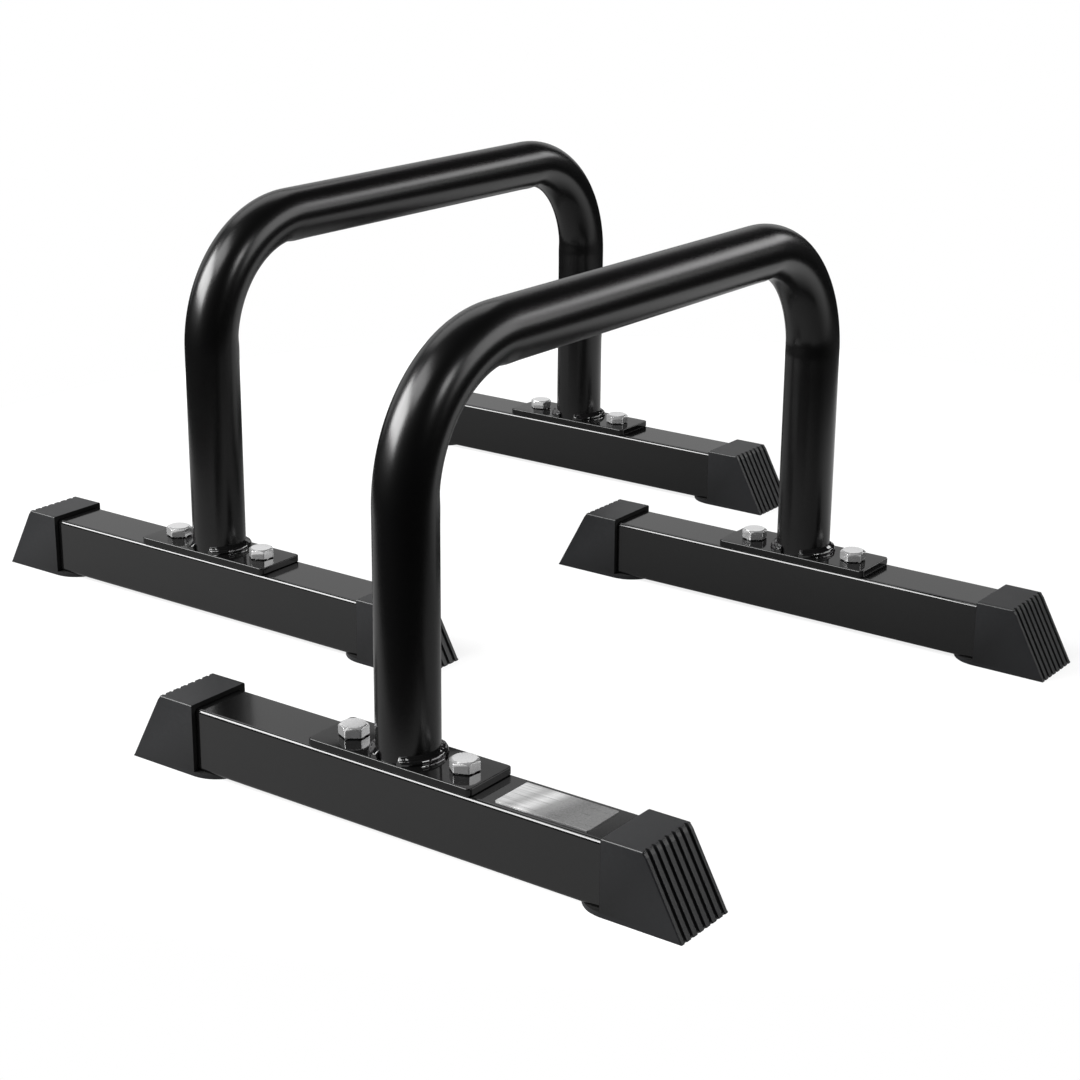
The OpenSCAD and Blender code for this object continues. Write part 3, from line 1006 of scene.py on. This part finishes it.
def cap_mesh(half_width, height, toe, tube_size):
    """The cap with its mouth at y = 0 and its toe along +Y, as one closed surface."""
    slope = math.atan((toe - cap_top_length) / height)
    socket = tube_size / 2 + socket_fit
    deep = cap_top_length - cap_nose_wall
    roof = cap_wall + tube_size + socket_fit
    nose = nose_outline(half_width, slope)
    tongue_y = half_width - tongue_length
    bm = bmesh.new()
    rings = []

    def tongue():
        begin = math.degrees(math.asin(tongue_y / half_width))
        bow = arc((0.0, tongue_y), half_width, 180 + begin, 360 - begin, tongue_arc_steps)
        return spread([(-half_width, 0.0), *bow[1:-1], (half_width, 0.0)], back_steps)

    def mouth():
        inner = socket - tube_corner
        corners = [(x, 0.0) for x in (-half_width, -inner, inner, half_width)]
        return stepped(corners, (rim_steps, back_steps - 2 * rim_steps, rim_steps))

    def hollow(narrow):
        inner = socket - narrow
        left = [(-half_width, 0.0), (-inner, 0.0), (-inner, deep)]
        corners = left + [(-x, y) for x, y in reversed(left)]
        across = back_steps - 2 * (rim_steps + depth_steps)
        return stepped(corners, (rim_steps, depth_steps, across, depth_steps, rim_steps))

    def add(z, back, trim, web=1.0):
        """One ring: the nose at height z, then the sides and the given back edge."""
        ring = []
        line = [(x, toe - z * math.tan(slope) + y * web, top) for x, y, top in nose]
        for x, y in back:
            at_side = abs(x) > half_width - MM
            line.append((x, y, cap_edge_radius if at_side else lip_radius))
        outline = inset([Vector(p[:2]) for p in line], 1.0)
        for (x, y, top), one_in in zip(line, outline):
            depth, drop = trim(top)
            into = (one_in - Vector((x, y))) * depth
            ring.append(bm.verts.new((x + into.x, y + into.y, z - drop)))
        rings.append(ring)

    # Each of these takes the rounding at the top and gives how far in and how far down to go
    def sharp(top):
        return 0.0, 0.0

    def low_edge(angle):
        inward = floor_radius * (1 - math.sin(angle))
        return lambda top: (inward * min(1, top / cap_face_radius), 0.0)

    def high_edge(angle):
        return lambda top: (top * (1 - math.cos(angle)), top * (1 - math.sin(angle)))

    for degrees in (0, 30, 60, 90):
        angle = math.radians(degrees)
        add(floor_radius * (1 - math.cos(angle)), tongue(), low_edge(angle), web_share)
    add(web_height, tongue(), sharp, web_share)
    add(web_top, tongue(), sharp)
    add(cap_wall - floor_radius, tongue(), sharp)
    add(cap_wall, tongue(), sharp)
    add(cap_wall, hollow(0.0), sharp)
    for degrees in (0, 22.5, 45, 67.5, 90):
        angle = math.radians(degrees)
        rise = tube_corner * (1 - math.sin(angle))
        add(roof - rise, hollow(tube_corner * (1 - math.cos(angle))), sharp)
    add(roof, mouth(), sharp)
    for degrees in (0, 18, 36, 54, 72, 90):
        add(height, mouth(), high_edge(math.radians(degrees)))
    join_rings(bm, rings)
    for ring in (rings[0], rings[-1]):
        bmesh.ops.triangle_fill(bm, use_beauty=True, edges=ring_edges(bm, ring))
    bmesh.ops.remove_doubles(bm, verts=bm.verts, dist=merge_gap)
    return bm


rubber, nodes, links, surface = surface_material("charcoal_rubber")
skin = use_group(nodes, grain_tree, Grains_per_metre=3200, Clouds_per_metre=45)
edge_light_shade = use_group(nodes, edge_tree, Breaks_per_metre=500, Rub_amount=0.7, Dust_amount=1.6)
tint = blend_colour(nodes, links, skin.outputs["Cloud"], rubber_dark, rubber_light)
# The lips get a painted highlight and the groove bottoms painted shade
edge_lit = blend_colour(nodes, links, edge_light_shade.outputs["Highlight"], tint, rubber_edge_highlight)
groove_shaded = blend_colour(nodes, links, edge_light_shade.outputs["Shade"], edge_lit, rubber_groove_shade)
# The mouth of the collar lies in shadow, so painted shade makes it nearly black and fully rough
spot = nodes.new("ShaderNodeSeparateXYZ")
links.new(nodes.new("ShaderNodeTexCoord").outputs["Object"], spot.inputs["Vector"])
at_mouth = math_node(nodes, links, "LESS_THAN", spot.outputs["Y"], mouth_depth)
above_tongue = math_node(nodes, links, "GREATER_THAN", spot.outputs["Z"], mouth_sill)
shaded = math_node(nodes, links, "MULTIPLY", at_mouth, above_tongue)
with_mouth = blend_colour(nodes, links, shaded, groove_shaded, mouth_painted_shade)
links.new(with_mouth, surface.inputs["Base Color"])
even = between(nodes, links, skin.outputs["Cloud"], 0.33, 0.43)
links.new(math_node(nodes, links, "MAXIMUM", even, shaded), surface.inputs["Roughness"])
links.new(bump(nodes, links, skin.outputs["Grain"], 0.02 * MM), surface.inputs["Normal"])
surface.inputs["Specular IOR Level"].default_value = 0.45

tube_low, tube_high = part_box("right_front_foot_tube")
cap_low, cap_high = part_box("right_front_outer_cap")
toe = cap_high.y - cap_low.y - tongue_length
half_width = (cap_high.x - cap_low.x) / 2
shared_cap = None

for side in SIDES:
    for end in ENDS:
        for place in ("inner", "outer"):
            node = f"{side}_{end}_{place}_cap"
            low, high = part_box(node)
            to_back = (side == "left") == (place == "outer")
            if shared_cap is None:
                bm = cap_mesh(half_width, high.z, toe, tube_high.x - tube_low.x)
            else:
                bm = bmesh.new()
                bm.from_mesh(shared_cap)
            cap = piece_from(
                bm,
                f"{side}_{end}_{place}_rubber",
                rubber,
                f"{side}_bar",
                [node],
                sharp=60,
            )
            if shared_cap is None:
                shared_cap = cap.data
            cap.data = shared_cap
            mouth_y = high.y - toe if to_back else low.y + toe
            moved = Matrix.Translation(((low.x + high.x) / 2, mouth_y, 0))
            cap.matrix_world = moved @ Matrix.Rotation(0 if to_back else math.pi, 4, "Z")


# Name plate
# A thin strip of brushed aluminium with round corners. It is stuck on top of the right bar's
# near foot, between the flange plate and the outer cap, and is left bare.
badge_corner = 1 * MM
badge_edge = 0.04 * MM
# Painted highlight along the strip's edges
badge_edge_highlight = (0.6, 0.6, 0.6, 1)
# Brushed lines per metre, and how much they are drawn out along the strip
brush_lines = 1100
brush_stretch = (1.0, 0.02, 1.0)
# How far the bands of light lean over, along the strip for each step across it
band_slant = 0.25
# Places along the strip and how bright the painted reflection is there
painted_reflection_bands = [
    (0.02, 0.75),
    (0.16, 0.65),
    (0.26, 0.4),
    (0.38, 0.8),
    (0.54, 0.2),
    (0.7, 0.04),
    (0.98, 0.08),
]

low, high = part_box("right_front_name_plate")
centre = (low + high) / 2

brushed, nodes, links, surface = surface_material("brushed_plate")
stretch = nodes.new("ShaderNodeMapping")
stretch.inputs["Scale"].default_value = brush_stretch
links.new(nodes.new("ShaderNodeTexCoord").outputs["Object"], stretch.inputs["Vector"])
lines = noise(nodes, links, stretch.outputs["Vector"], brush_lines, detail=4, roughness=0.7)
edge_light_shade = use_group(nodes, edge_tree, Breaks_per_metre=900, Rub_amount=0.8, Dust_amount=0.0)
# Painted reflection: broad soft bands of the lamps, as brushing throws them back, lie across the
# strip
spot = nodes.new("ShaderNodeSeparateXYZ")
links.new(nodes.new("ShaderNodeTexCoord").outputs["Object"], spot.inputs["Vector"])
lean = math_node(nodes, links, "MULTIPLY", spot.outputs["X"], band_slant)
slanted = math_node(nodes, links, "ADD", spot.outputs["Y"], lean)
along = nodes.new("ShaderNodeMapRange")
along.inputs["From Min"].default_value = high.y + high.x * band_slant
along.inputs["From Max"].default_value = low.y + high.x * band_slant
links.new(slanted, along.inputs["Value"])
bands = nodes.new("ShaderNodeValToRGB")
for place, shade in painted_reflection_bands:
    band = bands.color_ramp.elements.new(place)
    band.color = (shade, shade, shade, 1)
bands.color_ramp.elements.remove(bands.color_ramp.elements[0])
bands.color_ramp.elements.remove(bands.color_ramp.elements[-1])
bands.color_ramp.interpolation = "EASE"
links.new(along.outputs["Result"], bands.inputs["Fac"])
faint = between(nodes, links, lines, 0.1, 1.9)
streaked = math_node(nodes, links, "MULTIPLY", bands.outputs["Color"], faint)
# The strip's edges get a painted highlight
edged = blend_colour(nodes, links, edge_light_shade.outputs["Highlight"], streaked, badge_edge_highlight)
links.new(edged, surface.inputs["Base Color"])
links.new(between(nodes, links, lines, 0.1, 0.6), surface.inputs["Roughness"])
links.new(bump(nodes, links, lines, 0.04 * MM), surface.inputs["Normal"])
surface.inputs["Metallic"].default_value = 0.6

rim = round_rectangle(high.x - low.x, high.y - low.y, badge_corner)
bm = slab([rim], low.z - centre.z, high.z - centre.z, badge_edge)
bmesh.ops.translate(bm, verts=bm.verts, vec=centre)
piece_from(
    bm, "bare_name_plate", brushed, "right_bar", ["right_front_name_plate"]
)
